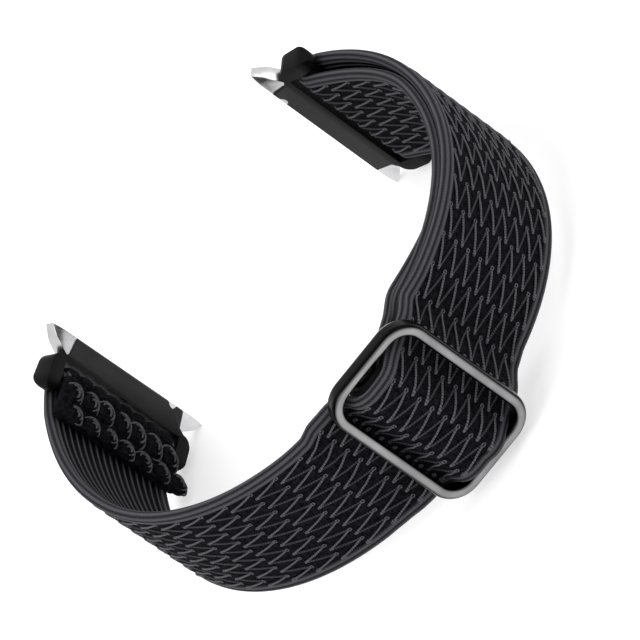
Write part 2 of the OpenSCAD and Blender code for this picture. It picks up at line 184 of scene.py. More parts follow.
def shifted(stations: list[Station], distance: float) -> list[Station]:
    """A line moved to its left by a distance."""
    return [station.left(distance) for station in stations]


class Route:
    """The middle line of the whole strap in plan, with marks where its stretches begin."""

    def __init__(self, offset: Vector, middle: float) -> None:
        """Starts an empty route.

        Args:
            offset: what is added to a point of the route to place it in the frame, in millimetres.
            middle: height of the middle of the strap's width above the floor.
        """
        self.offset, self.middle = offset, middle
        self.stations: list[Station] = []
        self.marks: dict[str, float] = {}
        self.table = np.zeros((0, 4))

    def add(self, name: str, stations: list[Station]) -> None:
        """Adds a stretch whose beginning is marked with a name."""
        self.marks[name] = self.length()
        self.stations += stations[1:] if self.stations else stations

    def length(self) -> float:
        """Length of the route so far."""
        return sum(math.hypot(b.x - a.x, b.y - a.y) for a, b in zip(self.stations, self.stations[1:]))

    def close(self) -> None:
        """Works out the table of distance, x, y and heading that the webbing is laid by."""
        self.marks["end"] = self.length()
        points = np.array([[s.x + self.offset.x, s.y + self.offset.y] for s in self.stations])
        heading = np.unwrap([s.heading for s in self.stations])
        steps = np.hypot(*np.diff(points, axis=0).T)
        self.table = np.column_stack([np.concatenate([[0], np.cumsum(steps)]), points, heading])

    def lay(self, flat: np.ndarray) -> np.ndarray:
        """Places points of flat webbing on the route.

        Args:
            flat: rows of distance along the route, place across the strap and height off its middle.

        Returns:
            The points in the frame, in metres.
        """
        distance, x, y, heading = self.table.T
        along = np.clip(flat[:, 0], 0, distance[-1])
        spill = flat[:, 0] - along
        turn = np.interp(along, distance, heading)
        px = np.interp(along, distance, x) + spill * np.cos(turn) + flat[:, 2] * np.sin(turn)
        py = np.interp(along, distance, y) + spill * np.sin(turn) - flat[:, 2] * np.cos(turn)
        return np.column_stack([px, py, flat[:, 1] + self.middle]) * MM

    def spot(self, distance: float) -> Vector:
        """The point in the frame at a distance along the route, in metres."""
        return Vector(self.lay(np.array([[distance, 0.0, 0.0]]))[0])


@dataclass
class BandPath:
    """The band's plan, in millimetres, from the sewn tail at the lower lug to the one at the slider."""

    # cloth, front, corners and arms
    strap_t: float = 1.2
    layer_gap: float = 0.1
    front_heading: float = 2.3
    rise_len: float = 12
    left_front_r: float = 22.3
    right_front_r: float = 69
    lower_arm_r: float = 30.7
    lower_end_r: float = 36
    lower_arm_len: float = 55.2
    lower_flex_at: float = 22
    flex_len: float = 10
    corner_r: float = 25.5
    corner_len: float = 24
    upper_arm_r: float = 32
    upper_arm_len: float = 30
    # the sewn ends at the lower lug and at the slider
    tail_len: float = 6
    tail_gap: float = 0.15
    bar_tail_len: float = 8.0
    bar_tail_sink: float = 1.4
    bar_tail_curve: float = 1.2
    # the slider's place, and the strap's way under its rails
    slider_heading: float = -7
    slider_proud: float = 2.1
    slider_shift: float = 2.4
    rail_mid: float = 6.4
    rail_depth: float = -2.15
    right_dip: float = 0.6
    left_slope: float = 3
    right_slope: float = 36
    # the strap's way round the cross bar
    left_flank_slope: float = 72
    right_flank_slope: float = 46
    bar_flat: float = 0.8
    bar_x: float = -0.8
    bar_y: float = -0.75
    bar_turn_r: float = 1.15
    bar_turn_swell: float = 0.4
    swell_at: float = 195
    swell_rate: float = 1.5
    round_step: float = 9
    # the folds round the lugs' rails, and the height of the strap's middle above the floor
    fold_r: float = 2.05
    fold_step: float = 0.1
    middle: float = 12.3

    def on_slider(self, x: float, y: float, rise: float = 0) -> Station:
        """A station in the slider's own frame, x along the strap and y out of the loop."""
        a = math.radians(self.slider_heading)
        return Station(self.slider_at.x + x * math.cos(a) + y * math.sin(a),
                       self.slider_at.y + x * math.sin(a) - y * math.cos(a), a - math.radians(rise))

    def round_bar(self, side: int, radius: float, first: float, last: float) -> list[Station]:
        """Stations on a circle round one end of the cross bar.

        Args:
            side: 1 for the right end, -1 for the left one.
            radius: the circle's radius.
            first: angle of the first station in degrees.
            last: angle of the last one.

        Returns:
            The stations.
        """
        count = max(4, round(abs(last - first) / self.round_step))
        angles = [math.radians(first + (last - first) * i / count) for i in range(count + 1)]
        swell = self.bar_turn_swell if first > 180 else 0
        middle = math.radians(self.swell_at)
        reach = [radius + swell * max(0, math.cos(self.swell_rate * (a - middle))) for a in angles]
        return [self.on_slider(self.bar_x + side * self.bar_flat + r * math.cos(a),
                               self.bar_y + r * math.sin(a), math.degrees(a) - 90)
                for r, a in zip(reach, angles)]

    @property
    def half(self) -> float:
        """From the outer face of a layer to its middle."""
        return self.strap_t / 2

    @property
    def step(self) -> float:
        """From the middle of one layer to the middle of the next."""
        return self.strap_t + self.layer_gap

    @property
    def inner(self) -> float:
        """From the outer face of the outer layer to the middle of the inner one."""
        return self.step + self.half

    @property
    def turn(self) -> float:
        """Length of a fold round a lug's rail."""
        return math.pi * self.fold_r

    @property
    def near_len(self) -> float:
        """Length of the lower arm from the slider to the end of its flex."""
        return self.lower_flex_at + self.flex_len

    def under_right(self) -> Station:
        """The station under the slider's right rail."""
        return self.on_slider(self.rail_mid, self.rail_depth - self.right_dip, -self.right_slope)

    def build(self) -> Route:
        """Lays out the strap's middle line as one route.

        Returns:
            The route, placed in the frame by the upper lug's hinge.
        """
        self.place_arcs()
        rail = Vector(packed_joint("upper_lug_swing")["pos_m"]) / MM
        at = self.upper_end.left(self.fold_r)
        self.route = Route(Vector((rail.x - at.x, rail.y - at.y)), self.middle)
        self.add_lower_side()
        self.add_over_bar()
        self.add_upper_side()
        self.add_sewn_end()
        self.route.close()
        return self.route

    def place_arcs(self) -> None:
        """Finds where the arcs of the strap's outer face meet, and the slider's place."""
        front = Station(0, 0, math.radians(self.front_heading))
        self.slider_at = front.along(self.right_front_r, self.slider_shift).left(-self.slider_proud)
        self.right_rise = front.along(self.right_front_r, self.rise_len)
        self.right_corner = self.right_rise.along(self.corner_r, self.corner_len)
        self.upper_end = self.right_corner.along(self.upper_arm_r, self.upper_arm_len)
        self.left_rise = front.turned(180).along(-self.left_front_r, self.rise_len)
        self.lower_near = self.left_rise.along(-self.lower_arm_r, self.near_len)
        self.lower_end = self.lower_near.along(-self.lower_end_r, self.lower_arm_len - self.near_len)

    def add_lower_side(self) -> None:
        """Adds the tail that is sewn at the lower lug, the fold there and the lower arm."""
        route, half, turn = self.route, self.half, self.turn
        end_len = self.lower_arm_len - self.near_len
        fold_end = self.lower_end.along(-self.fold_r, turn)
        tail_end = self.lower_end.along(-self.lower_end_r, -self.tail_len)
        route.add("lower_tail", back(bend(fold_end.left(-half), tail_end.turned(180).left(self.inner))))
        route.add("lower_fold", shifted(back(arc(self.lower_end, -self.fold_r, turn, self.fold_step)), half))
        route.add("lower_end", shifted(back(arc(self.lower_near, -self.lower_end_r, end_len)), half))
        route.add("lower_near", shifted(back(arc(self.left_rise, -self.lower_arm_r, self.near_len)), half))

    def add_over_bar(self) -> None:
        """Adds the strap's way under the left rail, over the cross bar and under the right rail."""
        under_left = self.on_slider(-self.rail_mid, self.rail_depth, self.left_slope)
        under_right = self.under_right()
        hump_r = self.bar_turn_r + self.step
        hump_left = self.round_bar(-1, hump_r, 90 + self.left_flank_slope, 90)
        hump_right = self.round_bar(1, hump_r, 90, 90 - self.right_flank_slope)
        self.right_flank = (hump_right + bend(hump_right[-1], under_right)[1:]
                            + bend(under_right, self.right_rise.left(self.half))[1:])
        self.route.add("left_pass", bend(self.left_rise.turned(-180).left(self.half), under_left))
        self.route.add("left_flank", bend(under_left, hump_left[0]) + hump_left[1:])
        self.route.add("crest", self.right_flank)

    def add_upper_side(self) -> None:
        """Adds the right corner, the upper arm, its fold at the upper lug and the way back inside it."""
        route, half, inner = self.route, self.half, self.inner
        fold_end = self.upper_end.along(self.fold_r, self.turn)
        flex_end = self.right_corner.along(self.upper_arm_r, self.flex_len)
        corner = arc(self.right_rise, self.corner_r, self.corner_len)
        flex = arc(self.right_corner, self.upper_arm_r, self.flex_len)
        route.add("outer_run", shifted(corner, half))
        route.add("upper_flex", shifted(arc(self.right_corner, self.upper_arm_r, self.upper_arm_len), half))
        route.add("upper_fold", shifted(arc(self.upper_end, self.fold_r, self.turn, self.fold_step), half))
        route.add("inner_end", bend(fold_end.left(half), flex_end.turned(180).left(-inner)))
        route.add("inner_flex", shifted(back(flex), -inner))
        route.add("inner_run", shifted(back(corner), -inner))

    def add_sewn_end(self) -> None:
        """Adds the way back to the cross bar, the turn round it, and the tail that sinks in where it ends."""
        self.route.add("bar_flank", back(shifted(self.right_flank, self.step)))
        self.route.add("bar_turn", back(self.round_bar(-1, self.bar_turn_r, 270, 90)))
        inside = self.half + 2 * self.step + self.tail_gap
        under_tail = self.under_right().left(2 * self.step + self.tail_gap).turned(180)
        under_bar = self.on_slider(self.bar_x, self.bar_y - self.bar_turn_r, 180)
        outer = arc(self.right_rise, self.corner_r, self.bar_tail_len)
        shares = [i / (len(outer) - 1) for i in range(len(outer))]
        sunk = [station.left(inside - self.bar_tail_sink * share ** self.bar_tail_curve)
                for station, share in zip(outer, shares)]
        tail = (back(sunk) + bend(self.right_rise.left(inside).turned(180), under_tail)[1:]
                + bend(under_tail, under_bar)[1:])
        self.route.add("bar_tail", back(tail))


class Finish:
    """Base of the node materials: small helpers that add and join shader nodes."""

    def __init__(self, name: str) -> None:
        """Starts an empty material with a Principled shader.

        Args:
            name: the material's name.
        """
        self.material = bpy.data.materials.new(name)
        self.material.use_nodes = True
        self.tree = self.material.node_tree
        self.shader = self.tree.nodes["Principled BSDF"]

    def node(self, kind: str, **values: object) -> bpy.types.Node:
        """Adds a node.

        Args:
            kind: its type.
            values: its properties or inputs by name, with _ for a blank.

        Returns:
            The node.
        """
        made = self.tree.nodes.new(kind)
        for key, value in values.items():
            if hasattr(made, key):
                setattr(made, key, value)
            else:
                made.inputs[key.replace("_", " ")].default_value = value
        return made

    def link(self, start: Socket, end: Socket) -> None:
        """Joins two sockets."""
        self.tree.links.new(start, end)

    def math(self, operation: str, a: object, b: object = 0.0) -> Socket:
        """Adds a math node.

        Args:
            operation: what it does.
            a: its first operand, a socket or a number.
            b: the second one.

        Returns:
            The result.
        """
        made = self.node("ShaderNodeMath", operation=operation)
        for place, value in zip(made.inputs, (a, b)):
            if isinstance(value, Socket):
                self.link(value, place)
            else:
                place.default_value = value
        return made.outputs[0]

    def noise(self, vector: Socket, scale: float, detail: float = 3) -> Socket:
        """Adds a noise pattern.

        Args:
            vector: the coordinates that it follows.
            scale: how fine it is.
            detail: how many finer layers it has.

        Returns:
            The pattern, from 0 to 1.
        """
        made = self.node("ShaderNodeTexNoise", Scale=scale, Detail=detail)
        self.link(vector, made.inputs["Vector"])
        return made.outputs["Fac"]

    def ramp(self, value: Socket, low: Triple, high: Triple, start: float = 0.3, end: float = 0.7) -> Socket:
        """Adds a colour that follows a value.

        Args:
            value: what it follows.
            low: the colour up to start.
            high: the colour from end.
            start: the value where the colour begins to change.
            end: the value where it has changed.

        Returns:
            The colour.
        """
        made = self.node("ShaderNodeValToRGB")
        made.color_ramp.elements[0].position = start
        made.color_ramp.elements[1].position = end
        made.color_ramp.elements[0].color = (*low, 1)
        made.color_ramp.elements[1].color = (*high, 1)
        self.link(value, made.inputs[0])
        return made.outputs[0]

    def mix(self, share: Socket, first: object, second: object) -> Socket:
        """Adds a colour between two.

        Args:
            share: the second colour's share.
            first: a socket or three numbers.
            second: the same for the other colour.

        Returns:
            The colour.
        """
        made = self.node("ShaderNodeMix", data_type="RGBA")
        self.link(share, made.inputs["Factor"])
        for name, color in (("A", first), ("B", second)):
            place = next(i for i in made.inputs if i.name == name and i.type == "RGBA")
            if isinstance(color, Socket):
                self.link(color, place)
            else:
                place.default_value = (*color, 1)
        return next(o for o in made.outputs if o.type == "RGBA")

    def bump(self, height: Socket, distance: float, strength: float = 1.0) -> None:
        """Roughens the shader's normal.

        Args:
            height: the pattern that it follows.
            distance: how high the pattern is, in metres.
            strength: how much of it shows.
        """
        made = self.node("ShaderNodeBump", Strength=strength, Distance=distance)
        self.link(height, made.inputs["Height"])
        self.link(made.outputs["Normal"], self.shader.inputs["Normal"])


@dataclass(frozen=True)
class YarnFinish:
    """Nylon yarn or cloth: matt fibres with a fine hatch along the strap, and painted shade in the grooves of
    its ribs or cords.
    """

    name: str
    low: Triple
    high: Triple
    roughness: float = 0.7
    gloss: float = 0.1
    hatch_pitch: float = 0.3
    hatch_share: float = 0.45
    hatch_depth: float = 0.00004
    speckle: float = 9
    drift: float = 1.6
    drift_scale: float = 1.3
    dark_below: float = 0.3
    light_above: float = 0.75
    relief: float = 0.8
    rib_pitch: float = 0
    rib_start: float = 0
    rib_sharpness: float = 3
    groove_shade: float = 0.1
    rib_shade: float = 0.4
    cord_pitch: float = 0
    ridge_shade_share: float = 0.5
    # painted shade: the cords darken to this colour along a stretch of the route, inside the slider
    painted_shade_span: tuple[float, float] | None = None
    painted_shade_color: Triple = (0.004, 0.004, 0.005)

    def make(self) -> Material:
        """Builds the material.

        Returns:
            The node material.
        """
        kit = Finish(self.name)
        flat = kit.node("ShaderNodeAttribute", attribute_name="flat").outputs["Vector"]
        parts = kit.node("ShaderNodeSeparateXYZ")
        kit.link(flat, parts.inputs[0])
        drift = kit.math("MULTIPLY", kit.noise(flat, self.drift_scale), self.drift)
        wave = self.wave(kit, parts.outputs["X"], self.hatch_pitch, drift)
        fibres = kit.noise(flat, self.speckle, 4)
        shade = kit.math("ADD", kit.math("MULTIPLY", wave, self.hatch_share),
                         kit.math("MULTIPLY", fibres, 1 - self.hatch_share))
        # painted shade: grooves between the ribs darker and rib tops lighter in the colour
        if self.rib_pitch:
            across = kit.math("SUBTRACT", parts.outputs["Y"], self.rib_start + self.rib_pitch / 2)
            rib = kit.math("POWER", self.wave(kit, across, self.rib_pitch, math.pi / 2), self.rib_sharpness)
            shade = kit.math("MULTIPLY", kit.math("ADD", rib, self.groove_shade),
                             kit.math("ADD", shade, self.rib_shade))
        # painted shade: grooves between the selvedge's cords darker and their ridges lighter in the colour
        if self.cord_pitch:
            ridge = self.wave(kit, self.round_edge(kit, parts), self.cord_pitch, -math.pi / 2)
            shade = kit.math("ADD", kit.math("MULTIPLY", ridge, self.ridge_shade_share),
                             kit.math("MULTIPLY", shade, 1 - self.ridge_shade_share))
        color = kit.ramp(shade, self.low, self.high, self.dark_below, self.light_above)
        # painted shade inside the slider: the colour moves towards the dark shade colour along the route
        if self.painted_shade_span:
            share = kit.node("ShaderNodeMapRange", From_Min=self.painted_shade_span[0], From_Max=self.painted_shade_span[1])
            kit.link(parts.outputs["X"], share.inputs["Value"])
            color = kit.mix(share.outputs["Result"], color, self.painted_shade_color)
        kit.link(color, kit.shader.inputs["Base Color"])
        kit.shader.inputs["Roughness"].default_value = self.roughness
        kit.shader.inputs["Specular IOR Level"].default_value = self.gloss
        kit.bump(shade, self.hatch_depth, self.relief)
        return kit.material

    def round_edge(self, kit: Finish, parts: bpy.types.Node) -> Socket:
        """Distance round a selvedge, from the zigzag side over its edge to the ribbed side.

        Args:
            kit: the material's helpers.
            parts: node that holds the flat webbing's coordinates.

        Returns:
            The distance, which runs the same way from either side of the strap.
        """
        half = Webbing.thickness / 2
        edge = Webbing.width / 2 - half
        out = kit.math("ABSOLUTE", parts.outputs["Y"])
        turn = kit.math("ARCTAN2", kit.math("MAXIMUM", kit.math("SUBTRACT", out, edge), 0.0),
                        kit.math("ABSOLUTE", parts.outputs["Z"]))
        straight = kit.math("SUBTRACT", kit.math("MINIMUM", out, edge), Webbing.face_half)
        return kit.math("ADD", straight, kit.math("MULTIPLY", turn, half))

    def wave(self, kit: Finish, place: Socket, pitch: float, phase: object) -> Socket:
        """A sine between 0 and 1 that repeats at a pitch."""
        turn = kit.math("ADD", kit.math("MULTIPLY", place, 2 * math.pi / pitch), phase)
        return kit.math("ADD", kit.math("MULTIPLY", kit.math("SINE", turn), 0.5), 0.5)


@dataclass(frozen=True)
class MetalFinish:
    """Plated, coated or polished metal with faint wear and fine scratches, and painted shade on its walls
    where a wall colour is given.
    """

    name: str
    low: Triple
    high: Triple
    metallic: float = 1.0
    roughness: float = 0.2
    gloss: float = 0.5
    wall_shade: Triple | None = None
    wall_shade_from: float = 0.55
    cloud_scale: float = 360
    speck_scale: float = 3600
    speck_depth: float = 0.000004
    roughness_spread: float = 0.12
    relief: float = 0.6

    def make(self) -> Material:
        """Builds the material.

        Returns:
            The node material.
        """
        kit = Finish(self.name)
        place = kit.node("ShaderNodeTexCoord").outputs["Object"]
        cloud = kit.noise(place, self.cloud_scale, 2)
        color = kit.ramp(cloud, self.low, self.high)
        # painted shade and dark reflection: where the surface turns away from the piece's face, the colour
        # goes to the near-black wall colour
        if self.wall_shade:
            painted_shade_facing = kit.node("ShaderNodeAttribute", attribute_name="painted_shade_facing").outputs["Fac"]
            share = kit.node("ShaderNodeMapRange", From_Min=self.wall_shade_from, From_Max=0.99)
            kit.link(painted_shade_facing, share.inputs["Value"])
            color = kit.mix(share.outputs["Result"], self.wall_shade, color)
        kit.link(color, kit.shader.inputs["Base Color"])
        speck = kit.noise(place, self.speck_scale, 4)
        kit.link(kit.math("ADD", kit.math("MULTIPLY", speck, self.roughness_spread),
                          self.roughness - self.roughness_spread / 2), kit.shader.inputs["Roughness"])
        kit.shader.inputs["Metallic"].default_value = self.metallic
        kit.shader.inputs["Specular IOR Level"].default_value = self.gloss
        kit.bump(speck, self.speck_depth, self.relief)
        return kit.material


def cord_finish(name: str, painted_shade_span: tuple[float, float] | None = None) -> YarnFinish:
    """The finish of the selvedge's cords.

    Args:
        name: the material's name.
        painted_shade_span: distances along the route between which painted shade darkens the cords, inside
            the slider.

    Returns:
        The finish.
    """
    return YarnFinish(name, (0.015, 0.015, 0.018), (0.088, 0.087, 0.099), hatch_pitch=0.26, hatch_share=0.3,
                      speckle=5, cord_pitch=Webbing.cord_pitch, painted_shade_span=painted_shade_span)


@dataclass
class Finishes:
    """Every finish of the band."""

    ground: Material = field(default_factory=lambda: YarnFinish(
        "woven_ground", (0.0008, 0.0008, 0.0012), (0.015, 0.015, 0.020), roughness=0.85, gloss=0.03,
        hatch_pitch=0.34, hatch_share=0.12, speckle=2).make())
    selvedge: Material = field(default_factory=lambda: cord_finish("selvedge_cord").make())
    ribs: Material = field(default_factory=lambda: YarnFinish(
        "inner_ribs", (0.002, 0.002, 0.0026), (0.075, 0.075, 0.086), roughness=0.75, gloss=0.05,
        hatch_pitch=0.42, rib_pitch=Webbing.rib_pitch, rib_start=-Webbing.face_half).make())
    yarn: Material = field(default_factory=lambda: YarnFinish(
        "zigzag_yarn", (0.03, 0.03, 0.036), (0.16, 0.16, 0.18), roughness=0.6, gloss=0.15,
        hatch_share=0.25).make())
    # painted shade: the lower legs of the zigzag get a darker copy of the yarn's colour
    shaded_low_yarn: Material = field(default_factory=lambda: YarnFinish(
        "sunken_yarn_painted_shade", (0.01, 0.01, 0.0125), (0.075, 0.075, 0.086), roughness=0.65, hatch_share=0.25).make())
    seam: Material = field(default_factory=lambda: YarnFinish(
        "seam_yarn", (0.04, 0.04, 0.045), (0.14, 0.14, 0.155), roughness=0.65, gloss=0.12,
        hatch_pitch=0.24, hatch_share=0.1, speckle=2).make())
    # the slider's face keeps the grey plating; its walls get near-black painted shade and dark reflection
    ring: Material = field(default_factory=lambda: MetalFinish(
        "slider_plating", (0.22, 0.22, 0.225), (0.30, 0.30, 0.305), roughness=0.22,
        wall_shade=(0.004, 0.004, 0.004), wall_shade_from=0.76).make())
    # painted shade: the lug plates' walls go near black and their end caps darker, while the face keeps the
    # coating's grey
    coating: Material = field(default_factory=lambda: MetalFinish(
        "black_coating", (0.037, 0.037, 0.039), (0.043, 0.043, 0.045), metallic=0, roughness=0.42, gloss=0.06,
        wall_shade=(0.003, 0.003, 0.003), wall_shade_from=0.35).make())
    steel: Material = field(default_factory=lambda: MetalFinish(
        "polished_bar", (0.55, 0.55, 0.56), (0.66, 0.66, 0.67), roughness=0.22).make())
    wire: Material = field(default_factory=lambda: MetalFinish(
        "spring_wire", (0.5, 0.5, 0.5), (0.6, 0.6, 0.6), roughness=0.3).make())


def tidy_mesh(bm: BMesh, gap: float = 1e-6) -> None:
    """Merges doubles and turns the faces outwards."""
    bmesh.ops.remove_doubles(bm, verts=bm.verts, dist=gap)
    bmesh.ops.recalc_face_normals(bm, faces=bm.faces)


def to_object(bm: BMesh, name: str, materials: Iterable[Material], smooth_angle: float = 180) -> Piece:
    """Turns a bmesh into a linked object.

    Args:
        bm: the mesh, which is freed.
        name: name of the piece.
        materials: its materials in order.
        smooth_angle: edges sharper than this stay sharp, in degrees.

    Returns:
        The new object at the origin.
    """
    mesh = bpy.data.meshes.new(name)
    bm.to_mesh(mesh)
    bm.free()
    for material in materials:
        mesh.materials.append(material)
    mesh.shade_smooth()
    if smooth_angle < 180:
        mesh.set_sharp_from_angle(angle=math.radians(smooth_angle))
    made = bpy.data.objects.new(name, mesh)
    bpy.context.scene.collection.objects.link(made)
    return made


def yarn_tube(bm: BMesh, points: list[Vector], radius: float, sides: int = 6,
              flatness: float = 1.0, taper: float = 0.0) -> None:
    """Adds a closed tube of yarn along a line.

    Args:
        bm: mesh that takes the tube.
        points: the line that it follows.
        radius: radius of the yarn.
        sides: number of sides.
        flatness: height of the yarn as a share of its width.
        taper: how much thinner its ends are, from 0 to 1.
    """
    made = bmesh.ops.create_grid(bm, x_segments=len(points) - 1, y_segments=sides, size=0.5)["verts"]
    last = len(points) - 1
    frames = []
    for i, point in enumerate(points):
        ahead = (points[min(i + 1, last)] - points[max(i - 1, 0)]).normalized()
        side = ahead.cross(Vector((0, 0, 1)))
        side = side.normalized() if side.length > 1e-6 else Vector((1, 0, 0))
        up = side.cross(ahead).normalized()
        share = 1 - taper * abs(2 * i / last - 1) ** 4
        frames.append((point, side * radius * share, up * radius * flatness * share))
    for vert in made:
        i = round((vert.co.x + 0.5) * last)
        a = (vert.co.y + 0.5) * 2 * math.pi
        point, side, up = frames[i]
        vert.co = point + side * math.cos(a) + up * math.sin(a)
    bmesh.ops.remove_doubles(bm, verts=made, dist=radius * 0.01)
    rims = dict.fromkeys(e for v in made if v.is_valid for e in v.link_edges if e.is_boundary)
    bmesh.ops.holes_fill(bm, edges=list(rims), sides=sides + 2)


@dataclass
class Webbing:
    """Elastic nylon webbing, flat: zigzag yarns, corded selvedges and a ribbed back, in millimetres."""

    finishes: Finishes
    route: Route
    width: float = 17.8
    thickness: float = 1.2
    face_half: float = 7.3875
    columns: int = 15
    row_pitch: float = 3.7
    leg_rise: float = 3.5
    leg_lift: float = 0.12
    low_leg_lift: float = 0.03
    leg_straight: float = 0.99
    yarn_r: float = 0.14
    yarn_stand: float = 0.7
    yarn_flatness: float = 0.8
    knot_r: float = 0.24
    knot_shape: Triple = (1.55, 0.85, 0.7)
    knot_shift: Triple = (0.1, 0, 0.03)
    eye_r: float = 0.19
    eye_shift: float = 0.6
    eye_length: float = 1.15
    eye_lift: float = 0.07
    eye_start: float = 200
    eye_turn: float = 320
    eye_yarn_r: float = 0.085
    eye_flatness: float = 0.9
    face_drop: float = 0.2
    hook: float = 1.3
    column_rise: float = 0.06
    rib_pitch: float = 0.985
    rib_depth: float = 0.16
    rib_sink: float = 0.03
    cord_count: int = 5
    cord_depth: float = 0.14
    cord_pitch: float = 0.742
    ring_step: float = 0.5
    smooth_angle: float = 75

    def face_height(self, y: float) -> float:
        """Height of the zigzag side above the middle, at a place across the strap."""
        phase = math.pi * (y + self.face_half) / (2 * self.face_half) * self.columns
        return self.thickness / 2 - self.face_drop + self.column_rise * abs(math.sin(phase))

    def back_height(self, y: float) -> float:
        """Depth of the ribbed side below the middle."""
        phase = math.pi * (y + self.face_half) / self.rib_pitch
        return self.thickness / 2 - self.rib_sink - self.rib_depth * (1 - abs(math.sin(phase)) ** 1.5)

    def selvedge(self) -> list[tuple[float, float]]:
        """Outline of one selvedge, from the zigzag side round the edge to the ribbed side.

        Returns:
            Places across and heights, with a small ridge for each cord.
        """
        half = self.thickness / 2
        flat = self.width / 2 - half - self.face_half
        around = math.pi * half
        total = 2 * flat + around
        points = []
        for i in range(self.cord_count * 6 + 1):
            at = total * i / (self.cord_count * 6)
            sink = self.cord_depth * (1 - abs(math.sin(math.pi * i / 6)) ** 0.7)
            turn = min(max((at - flat) / half, 0), math.pi)
            past = min(at, flat) - max(at - flat - around, 0)
            points.append((self.face_half + past + (half - sink) * math.sin(turn),
                           (half - sink) * math.cos(turn)))
        return points

    def section(self) -> np.ndarray:
        """The closed outline across the strap.

        Returns:
            Rows of place across and height, round the outline.
        """
        face = np.linspace(-self.face_half, self.face_half, self.columns * 6 + 1)[1:-1]
        ribs = np.linspace(self.face_half, -self.face_half, self.columns * 8 + 1)[1:-1]
        edge = self.selvedge()
        outline = [(y, self.face_height(y)) for y in face] + edge
        outline += [(y, -self.back_height(y)) for y in ribs]
        outline += [(-y, z) for y, z in reversed(edge)]
        return np.array(outline)

    def zigzag(self) -> list[Vector]:
        """One zigzag yarn across the strap: every second leg lies higher, and it dips at its turns.

        Returns:
            The yarn's middle line, from one selvedge to the other.
        """
        span = 2 * self.face_half / self.columns
        top = self.thickness / 2 - self.face_drop + self.yarn_r * self.yarn_stand
        sharp = self.leg_straight
        points = []
        for i in range(self.columns * 6 + 1):
            q = i / 6
            lift = self.low_leg_lift if int(q) % 2 else self.leg_lift
            q = math.floor(q) + 0.5 - 0.5 * math.cos(math.pi * (q % 1))
            rise = 0.5 - math.asin(sharp * math.cos(math.pi * q)) / (2 * math.asin(sharp))
            points.append(Vector((rise * self.leg_rise, q * span - self.face_half,
                                  top + lift * abs(math.sin(math.pi * q)))))
        return points

    def knot(self, bm: BMesh, turn: Vector, scale: float) -> None:
        """Adds the bright knot of a lower turn.

        Args:
            bm: mesh that takes it.
            turn: the yarn's point there.
            scale: how much larger than the others it is.
        """
        shape = Matrix.Translation(turn + Vector(self.knot_shift)) @ Matrix.Diagonal((*self.knot_shape, 1))
        made = bmesh.ops.create_uvsphere(bm, u_segments=7, v_segments=5, radius=self.knot_r * scale,
                                         matrix=shape)
        for face in {face for vert in made["verts"] for face in vert.link_faces}:
            face.material_index = Cloth.YARN

    def eye(self, bm: BMesh, turn: Vector) -> None:
        """Adds the small open loop of an upper turn.

        Args:
            bm: mesh that takes it.
            turn: the yarn's point there.
        """
        points = []
        for k in range(9):
            a = math.radians(self.eye_start + self.eye_turn * k / 8)
            ahead = self.eye_r * (self.eye_shift + self.eye_length * math.cos(a))
            points.append(turn + Vector((ahead, self.eye_r * math.sin(a), self.eye_lift)))
        first = len(bm.faces)
        yarn_tube(bm, points, self.eye_yarn_r, 5, self.eye_flatness)
        bm.faces.ensure_lookup_table()
        for face in bm.faces[first:]:
            face.material_index = Cloth.YARN

    def row(self) -> bpy.types.Mesh:
        """One zigzag yarn and the knots at its turns.

        Returns:
            A flat mesh whose lower turns are at x = 0.
        """
        bm = bmesh.new()
        line = self.zigzag()
        span = 2 * self.face_half / self.columns
        yarn_tube(bm, line, self.yarn_r, 6, self.yarn_flatness)
        for face in bm.faces:
            leg = math.floor((face.calc_center_median().y + self.face_half) / span)
            # every second leg lies lower and takes the painted shade copy of the yarn
            face.material_index = Cloth.SHADED_LOW_YARN if leg % 2 else Cloth.YARN
        for i in range(self.columns + 1):
            if i % 2:
                self.eye(bm, line[i * 6])
            else:
                self.knot(bm, line[i * 6], self.hook if i in (0, self.columns) else 1)
        mesh = bpy.data.meshes.new("row")
        bm.to_mesh(mesh)
        bm.free()
        return mesh

    def add_base(self, bm: BMesh, start: float, end: float) -> None:
        """Adds the body of the webbing between two distances along the route.

        Args:
            bm: mesh that takes it.
            start: where it begins.
            end: where it ends.
        """
        outline = self.section()
        rings = max(3, round((end - start) / self.ring_step))
        grid = bmesh.ops.create_grid(bm, x_segments=rings, y_segments=len(outline), size=0.5)["verts"]
        for vert in grid:
            y, z = outline[round((vert.co.y + 0.5) * len(outline)) % len(outline)]
            vert.co = Vector((start + (vert.co.x + 0.5) * (end - start), y, z))
        tidy_mesh(bm, 1e-5)
        rims = [e for e in bm.edges if e.is_boundary]
        bmesh.ops.holes_fill(bm, edges=rims, sides=len(outline) + 1)

